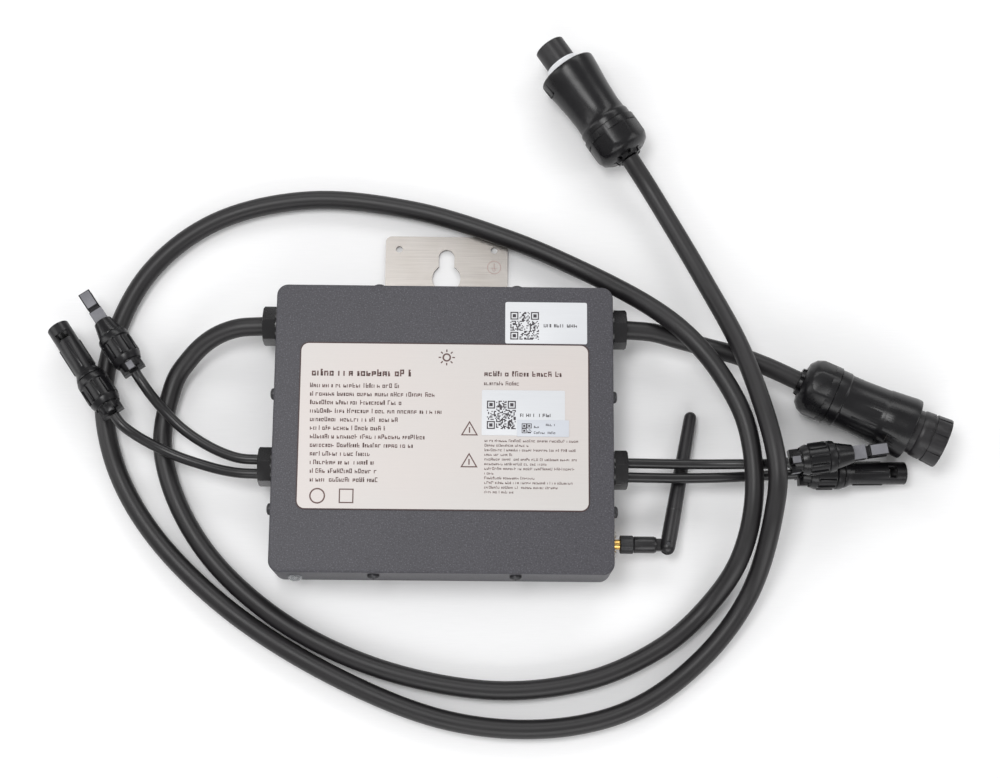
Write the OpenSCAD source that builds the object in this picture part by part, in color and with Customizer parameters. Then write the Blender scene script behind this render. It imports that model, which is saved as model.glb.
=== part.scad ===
// Two-input micro inverter with its AC trunk cable, AC outlet cable, four DC leads and folding antenna.
// Frame: +X right, +Y towards the mounting bracket, +Z out of the rating plate.
// Origin: centre of the housing's underside. Millimetres.

/* [Housing] */
// Width of the housing, along X
body_w = 212; // [200:1:224]
// Length of the housing, along Y
body_l = 182; // [176:1:190]
// Height of the housing with its cover
body_h = 40; // [38:0.5:46]
// Radius of the upright corners
corner_r = 7; // [5:0.5:9]
// Thickness of the walls and the floor
wall = 3; // [2.5:0.1:3.5]
// Thickness of the cover plate
cover_t = 2.5; // [2.5:0.1:3]
// Rounding of the cover's top edge
edge_r = 1.2; // [0.5:0.1:1.2]
// Height of the side screws
side_screw_z = 30; // [28:0.5:31]

/* [Labels] */
// Width of the rating plate
plate_w = 181; // [150:1:190]
// Height of the rating plate
plate_l = 106; // [90:1:108]
// Corner radius of the rating plate
plate_r = 5.5; // [2:0.5:8]

/* [Mounting bracket] */
// Width of the bracket
bracket_w = 80; // [76:1:90]
// Thickness of the bracket sheet
bracket_t = 2.5; // [2:0.1:3]
// Reach of the bracket beyond the housing
bracket_reach = 44; // [42:0.5:50]
// Radius of the keyhole's round opening
keyhole_r = 9.2; // [8:0.1:9.5]
// Width of the keyhole's slot
keyhole_slot = 10.2; // [8:0.1:12]
// Radius of the two small holes
side_hole_r = 2.2; // [1.5:0.1:2.5]

/* [Glands] */
// Height of the gland centres
gland_z = 22; // [20:0.5:23]
// Y position of the two AC glands
ac_gland_y = 68; // [60:1:70]
// Y position of the two DC glands
dc_gland_y = -23; // [-30:1:-15]
// Width across flats of the gland caps
gland_af = 22; // [20:0.5:24]
// Length of a gland outside the wall
gland_out = 9.5; // [9:0.5:13]

/* [Antenna] */
// Y position of the antenna axis
antenna_y = -68.8; // [-72:0.2:-60]
// Height of the antenna axis
antenna_z = 13; // [12.5:0.5:14]
// Length of the whip beyond its hinge
whip_len = 89; // [60:1:89]
// Angle of the stored whip from the straight position
whip_angle = 79; // [70:1:85]
// Droop of the stored whip towards the table
whip_droop = 5; // [4:0.5:6]

/* [Cables] */
// Diameter of the AC cables
ac_cable_d = 12; // [10:0.5:12]
// Diameter of the DC leads
dc_lead_d = 6.5; // [5:0.5:6.5]

/* [Hidden] */
$fn = 48;
eps = 0.01;
half_w = body_w / 2;
half_l = body_l / 2;
seam_z = body_h - cover_t;
inner_r = corner_r - wall;
gasket_t = 1.2;
lip_t = 1.5;
lip_z = seam_z - 4;
tab_t = 4;
tab_w = 14;
pcb_z = 8;
pcb_t = 1.6;
comp_z = pcb_z + pcb_t;
wifi_h = 2.4;
bracket_inner_y = 38;
bracket_top_y = half_l + bracket_reach;
keyhole_y = 106.8;
keyhole_slot_end = 126.2;
side_hole_x = 31.1;
bracket_corner_r = 4;
ac_r = ac_cable_d / 2;
dc_r = dc_lead_d / 2;
lead_gap = 9;
ac_tail_l = 38;
tail_gap = 1;
gland_turn = -23;
thread_r = 8;
wall_hole_r = thread_r + 0.1;
antenna_jack_r = 3.175;
hinge_x = 141.6;
hinge_pin_r = 1.5;
side_screws = [
    [[-42, half_l, side_screw_z], 90],
    [[45.5, half_l, side_screw_z], 90],
    [[-42, -half_l, side_screw_z], -90],
    [[45.5, -half_l, side_screw_z], -90],
    [[-half_w, 22, side_screw_z], 180],
    [[-half_w, -51, side_screw_z], 180],
    [[half_w, 22, side_screw_z], 0],
    [[half_w, -51, side_screw_z], 0]
];
bracket_screw_xy = [[-28, 50], [28, 50], [-28, 78], [28, 78]];
board_screw_xy = [[-88, -70], [88, -55], [-88, 48], [88, 48], [0, -72], [0, 30]];
led_x = -91;
led_z = 19;

// Cable routes: hand-picked points of the centre line, from the gland to the connector
trunk_route = [
    [-115.5, 68, 22], [-133, 66.6, 21.2], [-149, 60.5, 18], [-163, 48.5, 13], [-174, 30, 9],
    [-179, -8, 6.4], [-165, -50, 6.3], [-136, -89, 6.3], [-90, -124, 6.3], [-32, -148.5, 6.3],
    [33, -159.5, 6.3], [91, -153, 6.3], [136, -133, 6.2], [166, -107, 8.5], [185, -78, 25],
    [193, -40, 36.5], [189.5, 2, 37.5], [175, 35, 35.5], [154, 62, 33.5], [128, 85, 25],
    [88, 110.5, 12], [40, 132, 9.5], [-22, 151.5, 7], [-90, 158, 6.3], [-152, 142, 6.3],
    [-196, 103, 6.3], [-217, 45, 6.3], [-212, -10, 6.3], [-184, -62, 6.3], [-133, -111, 6.3],
    [-68, -150.5, 6.3], [0, -177, 6.3], [63, -182.8, 6.3], [118, -170.5, 6.4], [162, -139.5, 7.5],
    [192, -99, 16], [204.5, -52, 39], [205, -14, 46.4], [189.5, 48, 34.5], [166, 103, 20],
    [136, 159, 15.5], [119.2, 184.9, 20]
];
ac_short_route = [
    [115.5, 68, 22], [133, 66.8, 21], [150, 62.5, 19.8], [168, 57.8, 19.2], [186, 53, 19.3],
    [206, 45.5, 19.6], [225.6, 36.3, 20]
];
dc_plug_left_route = [
    [-115.5, -18.5, 22], [-128, -17.5, 21.2], [-141, -13, 19.5], [-154, -6, 18], [-166, 2.5, 17.5],
    [-176.5, 12.5, 19.3], [-184.5, 21.5, 23.2], [-191, 30.2, 25], [-195, 36, 24.5]
];
dc_socket_left_route = [
    [-115.5, -27.5, 22], [-128, -26.8, 21], [-141, -24.3, 19], [-154, -20.5, 17.5], [-166, -16.5, 17],
    [-178, -11.5, 18], [-188.5, -6.4, 20.6], [-196, -2, 23.2], [-202.2, 2.6, 24.5],
    [-207, 8.5, 24.3]
];
dc_plug_right_route = [
    [115.5, -18.5, 22], [131, -18.5, 21.3], [150, -18.5, 20.5], [168, -18.5, 21], [184, -18.8, 24],
    [195, -19.5, 28.2], [202, -20.1, 32.8], [208, -20.4, 35.6], [214.6, -19.6, 36.5]
];
dc_socket_right_route = [
    [115.5, -27.5, 22], [131, -27.5, 21], [150, -27.3, 19.5], [175, -26.5, 18.6], [200, -25, 18],
    [223, -23.5, 17.2]
];

// ---- shared shapes ----

// Rectangle w by l with rounded corners, centred
module round_rect(w, l, r) {
    square([w - 2 * r, l], center = true);
    square([w, l - 2 * r], center = true);
    for (x = [-1, 1])
        for (y = [-1, 1])
            translate([x * (w / 2 - r), y * (l / 2 - r)])
                circle(r);
}

// Places +Z of its children along a heading in the XY plane, dipped below it
module aim(place, heading, dip = 0) {
    translate(place)
        rotate([0, 90 + dip, heading])
            children();
}

// Hexagonal prism with flats facing up when it is aimed along X
module hex(af, h) {
    rotate([0, 0, 30])
        cylinder(h = h, r = af / sqrt(3), $fn = 6);
}

// Domed screw with a cross recess: head above z = 0, shank below
module pan_screw(head_r, head_h, shank_r, shank_l) {
    difference() {
        rotate_extrude()
            polygon([
                [0, 0], [head_r, 0], [head_r, head_h * 0.45], [head_r * 0.88, head_h * 0.8],
                [head_r * 0.55, head_h], [0, head_h]
            ]);
        for (a = [0, 90])
            rotate([0, 0, a])
                translate([-head_r * 0.5, -0.4, head_h * 0.45])
                    cube([head_r, 0.8, head_h]);
    }
    translate([0, 0, -shank_l])
        cylinder(h = shank_l, r = shank_r);
}

// Tube swept along a route; rings_per_leg rings between each pair of points
function smooth_point(p, i, t) =
    let (
        b = p[i],
        c = p[i + 1],
        a = i > 0 ? p[i - 1] : 2 * b - c,
        d = i + 2 < len(p) ? p[i + 2] : 2 * c - b
    )
    0.5 * (2 * b + (c - a) * t + (2 * a - 5 * b + 4 * c - d) * t * t
        + (3 * b - a - 3 * c + d) * t * t * t);

function unit(v) = v / norm(v);

function route_line(p, legs) = concat(
    [for (i = [0:len(p) - 2]) for (k = [0:legs - 1]) smooth_point(p, i, k / legs)],
    [p[len(p) - 1]]
);

function line_heading(q, i) = unit(q[min(i + 1, len(q) - 1)] - q[max(i - 1, 0)]);

module cord_tube(route, r, sides, rings_per_leg) {
    q = route_line(route, rings_per_leg);
    last = len(q) - 1;
    points = [
        for (i = [0:last])
            let (
                t = line_heading(q, i),
                side = unit(cross([0, 0, 1], t)),
                up = cross(t, side)
            )
            for (k = [0:sides - 1])
                let (a = 360 * (k + 0.5) / sides)
                q[i] + r * (cos(a) * side + sin(a) * up)
    ];
    walls = [
        for (i = [0:last - 1])
            for (k = [0:sides - 1])
                [
                    i * sides + k, (i + 1) * sides + k,
                    (i + 1) * sides + (k + 1) % sides, i * sides + (k + 1) % sides
                ]
    ];
    near_end = [for (k = [0:sides - 1]) k];
    far_end = [for (k = [sides - 1:-1:0]) last * sides + k];
    polyhedron(points = points, faces = concat(walls, [near_end], [far_end]));
}

// ---- housing ----

module base_housing() {
    color("#504e54")
        difference() {
            linear_extrude(seam_z)
                round_rect(body_w, body_l, corner_r);
            difference() {
                translate([0, 0, wall])
                    linear_extrude(body_h)
                        round_rect(body_w - 2 * wall, body_l - 2 * wall, inner_r);
                translate([-bracket_w / 2 - 3, bracket_inner_y - 3, 0])
                    cube([bracket_w + 6, half_l - bracket_inner_y + 3, bracket_t + wall]);
                for (p = board_screw_xy)
                    translate([p[0], p[1], 0])
                        cylinder(h = pcb_z, r = 3.5);
                for (p = bracket_screw_xy)
                    translate([p[0], p[1], 0])
                        cylinder(h = pcb_z - 0.5, r = 4);
            }
            translate([-bracket_w / 2 - 0.2, bracket_inner_y - 0.2, -eps])
                cube([bracket_w + 0.4, half_l - bracket_inner_y + 1, bracket_t + eps]);
            for (p = board_screw_xy)
                translate([p[0], p[1], wall])
                    cylinder(h = pcb_z, r = 1.25);
            for (p = bracket_screw_xy)
                translate([p[0], p[1], 0])
                    cylinder(h = 7, r = 2.05);
            for (s = side_screws)
                aim(s[0], s[1])
                    translate([0, 0, -wall - 1])
                        cylinder(h = wall + 2, r = 2.2);
            for (x = [-1, 1])
                for (y = [ac_gland_y, dc_gland_y])
                    translate([x * half_w, y, gland_z])
                        rotate([0, 90, 0])
                            cylinder(h = 4 * wall, r = wall_hole_r, center = true);
            translate([half_w, antenna_y, antenna_z])
                rotate([0, 90, 0])
                    cylinder(h = 4 * wall, r = 3.5, center = true);
            for (y = [-6.1, 6.1])
                translate([half_w, antenna_y + y, antenna_z])
                    rotate([0, 90, 0])
                        cylinder(h = 4 * wall, r = 1.3, center = true);
            translate([led_x, -half_l, led_z])
                rotate([90, 0, 0])
                    cylinder(h = 4 * wall, r = 3.1, center = true);
        }
}

module top_cover() {
    color("#504e54")
        difference() {
            union() {
                translate([0, 0, seam_z])
                    cover_plate();
                cover_lip();
                for (s = side_screws)
                    aim(s[0], s[1])
                        translate([lip_z - seam_z - 3.5, -tab_w / 2, -wall - gasket_t - tab_t])
                            cube([12.5, tab_w, tab_t]);
            }
            for (s = side_screws)
                aim(s[0], s[1])
                    translate([0, 0, -wall - gasket_t - tab_t - 1])
                        cylinder(h = tab_t + 2, r = 2.05);
        }
}

// Plate with upright round corners and a rounded top edge
module cover_plate() {
    hull()
        for (x = [-1, 1])
            for (y = [-1, 1])
                translate([x * (half_w - corner_r), y * (half_l - corner_r), 0])
                    rotate_extrude($fn = 32)
                        polygon(concat(
                            [[0, 0], [corner_r, 0]],
                            [
                                for (a = [0:18:90])
                                    [
                                        corner_r - edge_r + edge_r * cos(a),
                                        cover_t - edge_r + edge_r * sin(a)
                                    ]
                            ],
                            [[0, cover_t]]
                        ));
}

module cover_lip() {
    inset = 2 * (wall + gasket_t);
    translate([0, 0, lip_z])
        linear_extrude(seam_z - lip_z)
            difference() {
                round_rect(body_w - inset, body_l - inset, inner_r - gasket_t);
                square([body_w - inset - 2 * lip_t, body_l - inset - 2 * lip_t], center = true);
            }
}

module cover_gasket() {
    inset = 2 * (wall + gasket_t);
    color("#2b2b2b")
        translate([0, 0, lip_z + 0.5])
            linear_extrude(seam_z - lip_z - 0.5)
                difference() {
                    round_rect(body_w - 2 * wall, body_l - 2 * wall, inner_r);
                    round_rect(body_w - inset, body_l - inset, inner_r - gasket_t);
                }
}

module cover_screws() {
    color("#3a3a3c")
        for (s = side_screws)
            aim(s[0], s[1])
                pan_screw(3.75, 2.8, 2, 9.5);
}

module rating_plate() {
    color("#d8d2cc")
        translate([0.3, 0.5, body_h])
            linear_extrude(0.5)
                round_rect(plate_w, plate_l, plate_r);
}

module data_stickers() {
    color("#dfe3ea") {
        translate([38, 53.8, body_h])
            cube([51.5, 27, 0.2]);
        translate([23.7, -5.1, body_h + 0.5])
            cube([51.8, 28.8, 0.15]);
        translate([45.7, -5.7, body_h + 0.65])
            cube([32.3, 10.5, 0.15]);
    }
}

module mounting_bracket() {
    color("#b9b5b1")
        difference() {
            translate([0, (bracket_inner_y + bracket_top_y) / 2, 0])
                linear_extrude(bracket_t)
                    round_rect(bracket_w, bracket_top_y - bracket_inner_y, bracket_corner_r);
            translate([0, keyhole_y, -1])
                cylinder(h = bracket_t + 2, r = keyhole_r);
            translate([0, keyhole_slot_end - keyhole_slot / 2, -1])
                cylinder(h = bracket_t + 2, r = keyhole_slot / 2);
            translate([-keyhole_slot / 2, keyhole_y, -1])
                cube([
                    keyhole_slot, keyhole_slot_end - keyhole_slot / 2 - keyhole_y, bracket_t + 2
                ]);
            for (x = [-side_hole_x, side_hole_x])
                translate([x, keyhole_slot_end, -1])
                    cylinder(h = bracket_t + 2, r = side_hole_r);
            for (p = bracket_screw_xy)
                translate([p[0], p[1], 0]) {
                    cylinder(h = 2 * bracket_t, r = 2.05);
                    translate([0, 0, -eps])
                        cylinder(h = 1.9, r1 = 4.05, r2 = 2.15);
                }
        }
}

module bracket_screws() {
    color("#8f8d8b")
        for (p = bracket_screw_xy)
            translate([p[0], p[1], 0])
                difference() {
                    union() {
                        cylinder(h = 1.9, r1 = 4, r2 = 2);
                        cylinder(h = 6.5, r = 2);
                    }
                    for (a = [0, 90])
                        rotate([0, 0, a])
                            translate([-2, -0.4, -1])
                                cube([4, 0.8, 1.9]);
                }
}

module status_led_lens() {
    color("#e8ecee")
        translate([led_x, -half_l, led_z])
            rotate([90, 0, 0]) {
                translate([0, 0, -9])
                    cylinder(h = 9, r = 3);
                rotate_extrude()
                    polygon([
                        [0, 0], [4.3, 0], [4.3, 0.8], [3.9, 1.8], [3, 2.6], [1.6, 3.1], [0, 3.2]
                    ]);
            }
}

// ---- glands: local z = 0 is the wall's outer face; all four stop at the same turn when tight ----

module gland_body(hole_r, hole_offsets, turn) {
    collar = 1.4;
    color("#1d1d1f")
        difference() {
            union() {
                cylinder(h = collar, r = gland_af / 2 + 0.6);
                intersection() {
                    translate([0, 0, collar])
                        rotate([0, 0, turn])
                            hex(gland_af, gland_out - collar);
                    rotate_extrude()
                        polygon([
                            [0, 0], [14, 0], [14, gland_out - 2], [gland_af / 2 + 0.7, gland_out],
                            [0, gland_out]
                        ]);
                }
                translate([0, 0, -12])
                    cylinder(h = 12, r = thread_r);
            }
            translate([0, 0, -13])
                cylinder(h = 14, r = thread_r - 1);
            for (y = hole_offsets)
                translate([0, y, 0])
                    cylinder(h = gland_out + 1, r = hole_r);
        }
}

module gland_place(side, y) {
    aim([side * half_w, y, gland_z], side > 0 ? 0 : 180)
        children();
}

module ac_gland(side) {
    gland_place(side, ac_gland_y)
        gland_body(ac_r + 0.05, [0], side * gland_turn);
}

module dc_gland(side) {
    gland_place(side, dc_gland_y)
        gland_body(dc_r + 0.05, [-lead_gap / 2, lead_gap / 2], side * gland_turn);
}

module gland_seals() {
    color("#3b3b3b")
        for (side = [-1, 1]) {
            gland_place(side, ac_gland_y)
                translate([0, 0, -9])
                    difference() {
                        cylinder(h = 9, r = thread_r - 1.05);
                        translate([0, 0, -1])
                            cylinder(h = 11, r = ac_r + 0.05);
                    }
            gland_place(side, dc_gland_y)
                translate([0, 0, -9])
                    difference() {
                        cylinder(h = 9, r = thread_r - 1.05);
                        for (y = [-1, 1])
                            translate([0, y * 3.5, -1])
                                cylinder(h = 11, r = 2.3);
                    }
        }
}

module gland_lock_nuts() {
    color("#2a2a2c")
        for (side = [-1, 1])
            for (y = [ac_gland_y, dc_gland_y])
                gland_place(side, y)
                    translate([0, 0, -wall - 5])
                        difference() {
                            hex(20, 5);
                            translate([0, 0, -1])
                                cylinder(h = 7, r = thread_r + 0.05);
                        }
}

// Cable ends inside the glands, stripped to their wires further in, and inside the AC connectors
module cable_tails() {
    color("#1a1a1c") {
        place_ac_plug()
            translate([0, 0, tail_gap])
                cylinder(h = ac_tail_l - tail_gap, r = ac_r);
        place_ac_socket()
            translate([0, 0, tail_gap])
                cylinder(h = ac_tail_l - tail_gap, r = ac_r);
        for (side = [-1, 1]) {
            gland_place(side, ac_gland_y) {
                translate([0, 0, -14])
                    cylinder(h = gland_out + 14 - tail_gap, r = ac_r);
                for (a = [0, 120, 240])
                    rotate([0, 0, a])
                        translate([3, 0, -18])
                            cylinder(h = 5, r = 1.4);
            }
            gland_place(side, dc_gland_y)
                for (y = [-1, 1]) {
                    translate([0, y * lead_gap / 2, 1])
                        cylinder(h = gland_out - 1 - tail_gap, r = dc_r);
                    translate([0, y * 3.5, -18])
                        cylinder(h = 20, r = 2.2);
                }
        }
    }
}

// ---- electronics ----

module circuit_board() {
    color("#1f5a36")
        translate([0, -11, pcb_z])
            difference() {
                linear_extrude(pcb_t)
                    round_rect(186, 142, 3);
                for (p = board_screw_xy)
                    translate([p[0], p[1] + 11, -1])
                        cylinder(h = 4, r = 1.6);
            }
}

module board_screws() {
    color("#b0b0b2")
        for (p = board_screw_xy)
            translate([p[0], p[1], comp_z])
                pan_screw(2.75, 1.8, 1.2, 6);
}

module transformers() {
    color("#3c3a36")
        for (x = [-38, 38])
            translate([x, 2, comp_z]) {
                translate([-17, -14, 0])
                    cube([34, 28, 6]);
                translate([-17, -14, 16])
                    cube([34, 28, 6]);
                translate([-17, -14, 0])
                    cube([5, 28, 22]);
                translate([12, -14, 0])
                    cube([5, 28, 22]);
                cylinder(h = 22, r = 10);
            }
}

module input_capacitors() {
    color("#2c3c6e")
        for (x = [-75, -57, -39, -21, 21, 39])
            translate([x, -58, comp_z])
                cylinder(h = 23, r = 8);
}

module film_capacitors() {
    color("#c9a43a")
        for (x = [-62, -40, -18])
            translate([x, 44, comp_z])
                cube([18, 9, 15]);
}

module output_choke() {
    color("#b3672c")
        translate([22, 44, comp_z + 6])
            rotate_extrude()
                translate([9, 0])
                    circle(5.9);
}

module grid_relays() {
    color("#1c1c1e")
        for (x = [39, 56])
            translate([x, 36, comp_z])
                cube([15, 20, 16]);
}

module power_transistors() {
    color("#161618")
        for (x = [-66:18:60])
            translate([x, -30, comp_z])
                cube([10, 4.5, 15]);
}

module clamp_bar() {
    color("#a8a8aa")
        difference() {
            translate([-68, -25.5, comp_z])
                cube([140, 6, 12]);
            for (x = [-52, 56])
                translate([x, -22.5, comp_z - 1])
                    cylinder(h = 14, r = 1.5);
        }
}

module thermal_pads() {
    color("#8fa3ad")
        for (x = [-58, 58])
            translate([x, -30, wall])
                linear_extrude(pcb_z - wall)
                    round_rect(50, 44, 2);
}

module control_chips() {
    color("#141416") {
        translate([60, -60, comp_z])
            cube([12, 12, 1.6]);
        translate([58, -38, comp_z])
            cube([10, 6, 1.6]);
        translate([-12, 34, comp_z])
            cube([7, 7, 1.4]);
    }
}

module cable_terminals() {
    color("#2f6b46")
        for (side = [-1, 1]) {
            for (y = [dc_gland_y, 48])
                translate([side * 79 - 6, y - 8, comp_z])
                    cube([12, 16, 13]);
        }
}

module wifi_module() {
    color("#a9adb0")
        translate([66, -79, comp_z])
            cube([25, 16, wifi_h]);
}

module antenna_pigtail() {
    color("#4a3b2c") {
        translate([88, antenna_y, comp_z + wifi_h])
            cylinder(h = antenna_z - comp_z - wifi_h + 0.8, r = 0.8);
        translate([88, antenna_y, antenna_z])
            rotate([0, 90, 0])
                cylinder(h = 9, r = 0.8);
    }
}

// ---- antenna ----

// Frame of the antenna axis: +X along the axis, turned by the stored droop
module antenna_frame() {
    translate([0, antenna_y, antenna_z])
        rotate([-whip_droop, 0, 0])
            children();
}

module along_x(x) {
    translate([x, 0, 0])
        rotate([0, 90, 0])
            children();
}

module antenna_jack() {
    color("#c9a24a")
        translate([0, antenna_y, antenna_z]) {
            difference() {
                translate([half_w, -8.5, -4.6])
                    cube([1.6, 17, 9.2]);
                for (y = [-6.1, 6.1])
                    translate([half_w - 1, y, 0])
                        rotate([0, 90, 0])
                            cylinder(h = 4, r = 1.3);
            }
            difference() {
                along_x(half_w + 1)
                    cylinder(h = 10, r = antenna_jack_r);
                along_x(half_w + 7)
                    cylinder(h = 6, r = 2.3);
            }
            along_x(half_w + 7)
                cylinder(h = 3.5, r = 0.7);
            along_x(half_w - 9)
                cylinder(h = 10.5, r = 3);
        }
}

module jack_screws() {
    color("#3a3a3c")
        for (y = [-6.1, 6.1])
            aim([half_w + 1.6, antenna_y + y, antenna_z], 0)
                pan_screw(2.2, 1.5, 1.2, 8);
}

module antenna_nut() {
    nut_x = 111.2;
    color("#202022")
        translate([0, antenna_y, antenna_z])
            difference() {
                along_x(nut_x)
                    rotate_extrude()
                        polygon([
                            [0, 0], [5.2, 0], [5.75, 0.6], [5.75, 7.9], [5.2, 8.5], [0, 8.5]
                        ]);
                along_x(nut_x - 1)
                    cylinder(h = 7.15, r = antenna_jack_r + 0.07);
                along_x(nut_x + 6.1)
                    cylinder(h = 3, r = 3.97);
                for (a = [0:30:330])
                    rotate([a, 0, 0])
                        translate([nut_x + 1.2, 5.5, -0.35])
                            cube([6, 1, 0.7]);
            }
}

module antenna_barrel() {
    color("#1b1b1d")
        antenna_frame() {
            along_x(117.4)
                cylinder(h = 3, r = 3.9);
            along_x(119.9)
                rotate_extrude()
                    polygon([
                        [0, 0], [4.9, 0], [5.25, 0.5], [5.25, 12.8], [4.6, 14.2], [0, 14.6]
                    ]);
            difference() {
                union() {
                    translate([133, -3.8, -1.5])
                        cube([hinge_x - 133, 7.6, 3]);
                    translate([hinge_x, 0, -1.5])
                        cylinder(h = 3, r = 3.8);
                }
                translate([hinge_x, 0, -3])
                    cylinder(h = 6, r = hinge_pin_r);
            }
        }
}

module tilt_pin() {
    color("#8d8d8f")
        antenna_frame()
            translate([hinge_x, 0, -4.4])
                cylinder(h = 8.8, r = hinge_pin_r);
}

// Frame of the whip: +X along the whip, origin on the hinge pin
module whip_frame() {
    antenna_frame()
        translate([hinge_x, 0, 0])
            rotate([0, 0, whip_angle])
                children();
}

module antenna_whip() {
    base_r = 5;
    tip_r = 4;
    color("#1b1b1d")
        whip_frame()
            difference() {
                rotate([0, 90, 0])
                    rotate_extrude()
                        polygon(concat(
                            [[0, -6.3]],
                            [for (a = [-70:20:-10]) [base_r * cos(a), -1.3 + base_r * sin(a)]],
                            [[base_r, 0], [base_r, 13], [tip_r, whip_len - tip_r]],
                            [for (a = [15:15:75]) [tip_r * cos(a), whip_len - tip_r + tip_r * sin(a)]],
                            [[0, whip_len]]
                        ));
                translate([-8, -7, -1.65])
                    cube([12.4, 14, 3.3]);
                translate([0, 0, -6])
                    cylinder(h = 12, r = hinge_pin_r + 0.06);
                along_x(16)
                    cylinder(h = whip_len - 24, r = 0.85);
            }
}

module antenna_element() {
    color("#b88a3c")
        whip_frame()
            along_x(16.2)
                cylinder(h = whip_len - 25, r = 0.8);
}

// ---- cables ----

module trunk_cable() {
    color("#18181a")
        cord_tube(trunk_route, ac_r, 12, 2);
}

module ac_short_cable() {
    color("#18181a")
        cord_tube(ac_short_route, ac_r, 12, 1);
}

module dc_lead(route) {
    color("#1a1a1c")
        cord_tube(route, dc_r, 10, 1);
}

// ---- AC connectors: local z = 0 is the cable end ----

module place_ac_plug() {
    aim([119.2, 184.9, 20], 124.2)
        children();
}

module place_ac_socket() {
    aim([225.6, 36.3, 20], -23.8)
        children();
}

// Cap nut with a domed rear and wrench flats
module ac_cap_nut(dome, length) {
    flat_r = 17.6;
    collar = 4.5;
    difference() {
        rotate_extrude()
            polygon([
                [0, 0], [8.6, 0], [9.2, 2.2], [13.4, 3], [16.9, dome * 0.65], [18.3, dome],
                [18.7, dome + 1.4], [18.7, length], [0, length]
            ]);
        for (a = [0:45:315])
            rotate([0, 0, a]) {
                translate([flat_r, -9, dome * 0.5])
                    cube([4, 18, length - dome * 0.5 - collar]);
                translate([6.6, -1.1, -1])
                    cube([4, 2.2, 3.8]);
            }
        translate([0, 0, dome])
            cylinder(h = length, r = 15.1);
        translate([0, 0, -1])
            cylinder(h = dome + 2, r = ac_r + 0.05);
    }
}

module ac_plug_nut() {
    color("#161618")
        place_ac_plug()
            ac_cap_nut(8.5, 24);
}

module ac_plug_shell() {
    color("#161618")
        place_ac_plug()
            difference() {
                rotate_extrude()
                    polygon([
                        [0, 9], [15, 9], [15, 24.2], [17.6, 24.2], [17.8, 29], [16.8, 31],
                        [16.6, 38], [17.2, 48], [18.2, 58], [19.1, 66], [19.6, 72], [19.6, 75],
                        [18.6, 76], [0, 76]
                    ]);
                translate([0, 0, 7])
                    cylinder(h = 34, r = ac_r + 0.05);
                translate([0, 0, 40])
                    cylinder(h = 40, r = 11.25);
                translate([-2, -21, 66])
                    cube([4, 3, 5]);
            }
}

module ac_plug_spigot() {
    color("#131315")
        place_ac_plug()
            difference() {
                rotate_extrude()
                    polygon([
                        [0, 41], [11.2, 41], [11.2, 59], [10.2, 59], [10.2, 78], [10.4, 78],
                        [10.4, 93.4], [9.8, 94], [0, 94]
                    ]);
                for (a = [90, 210, 330])
                    rotate([0, 0, a])
                        translate([5, 0, 72])
                            cylinder(h = 30, r = 1.6);
            }
}

module ac_plug_ring() {
    color("#eceef0")
        place_ac_plug()
            translate([0, 0, 60])
                difference() {
                    cylinder(h = 17.8, r = 11.2);
                    translate([0, 0, -1])
                        cylinder(h = 20, r = 10.25);
                }
}

module ac_socket_nut() {
    color("#161618")
        place_ac_socket()
            ac_cap_nut(9.4, 23);
}

module ac_socket_shell() {
    color("#161618")
        place_ac_socket()
            difference() {
                rotate_extrude()
                    polygon([
                        [0, 12], [15, 12], [15, 23.2], [17.9, 23.2], [17.9, 29.6], [17.2, 30.4],
                        [17.2, 40], [18, 56.4], [18.4, 57], [19.2, 66], [19.9, 73], [19.9, 76.4],
                        [19.2, 77], [0, 77]
                    ]);
                translate([0, 0, 10])
                    cylinder(h = 45, r = ac_r + 0.05);
                translate([0, 0, 54])
                    cylinder(h = 30, r = 14.35);
            }
}

module ac_socket_insert() {
    color("#131315")
        place_ac_socket()
            difference() {
                translate([0, 0, 55])
                    rotate_extrude()
                        polygon([
                            [0, 0], [14.3, 0], [14.3, 26], [15.1, 27], [15.5, 33], [14.7, 33], [14.7, 34.6],
                            [15.6, 34.6], [16.2, 43], [15.9, 44], [0, 44]
                        ]);
                translate([0, 0, 89])
                    cylinder(h = 12, r = 10.6);
                translate([0, 0, 80])
                    cylinder(h = 12, r = 8.6);
                for (a = [0:45:315])
                    rotate([0, 0, a])
                        translate([15.3, -0.6, 78])
                            cube([3, 1.2, 22]);
            }
}

module ac_contacts() {
    color("#c0aa72") {
        place_ac_socket()
            for (a = [90, 210, 330])
                rotate([0, 0, a])
                    translate([5, 0, 80])
                        cylinder(h = 8, r = 1.25);
        place_ac_plug()
            for (a = [90, 210, 330])
                rotate([0, 0, a])
                    translate([5, 0, 72])
                        difference() {
                            cylinder(h = 18, r = 1.58);
                            translate([0, 0, 2])
                                cylinder(h = 18, r = 1.3);
                        }
    }
}

// ---- DC connectors: local z = 0 is the cable end, local -x is up ----

// Sealing collet with four claws behind the nut
module dc_collet() {
    rotate_extrude()
        polygon([[0, 3], [6, 3], [6.6, 8], [7.9, 9], [7.9, 30], [0, 30]]);
    for (a = [0:90:270])
        rotate([0, 0, a])
            translate([3, -2.6, tail_gap])
                cube([4.4, 5.2, 6]);
    translate([0, 0, tail_gap])
        cylinder(h = 7, r = 3.6);
}

module dc_plug() {
    color("#151517") {
        dc_collet();
        translate([0, 0, 30])
            rotate_extrude()
                polygon([[0, 0], [8.2, 0], [8.2, 1], [5.9, 11], [0, 11]]);
        translate([-3.6, -4.3, 40])
            cube([7.2, 8.6, 9.5]);
        translate([0, 0, 48])
            cylinder(h = 9, r = 2.6);
        for (x = [-3.6, 2])
            translate([x, -3.1, 48])
                cube([1.6, 6.2, 15.5]);
        for (x = [-4.4, 2])
            translate([x, -3.9, 51.5])
                cube([2.4, 7.8, 12]);
    }
}

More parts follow.
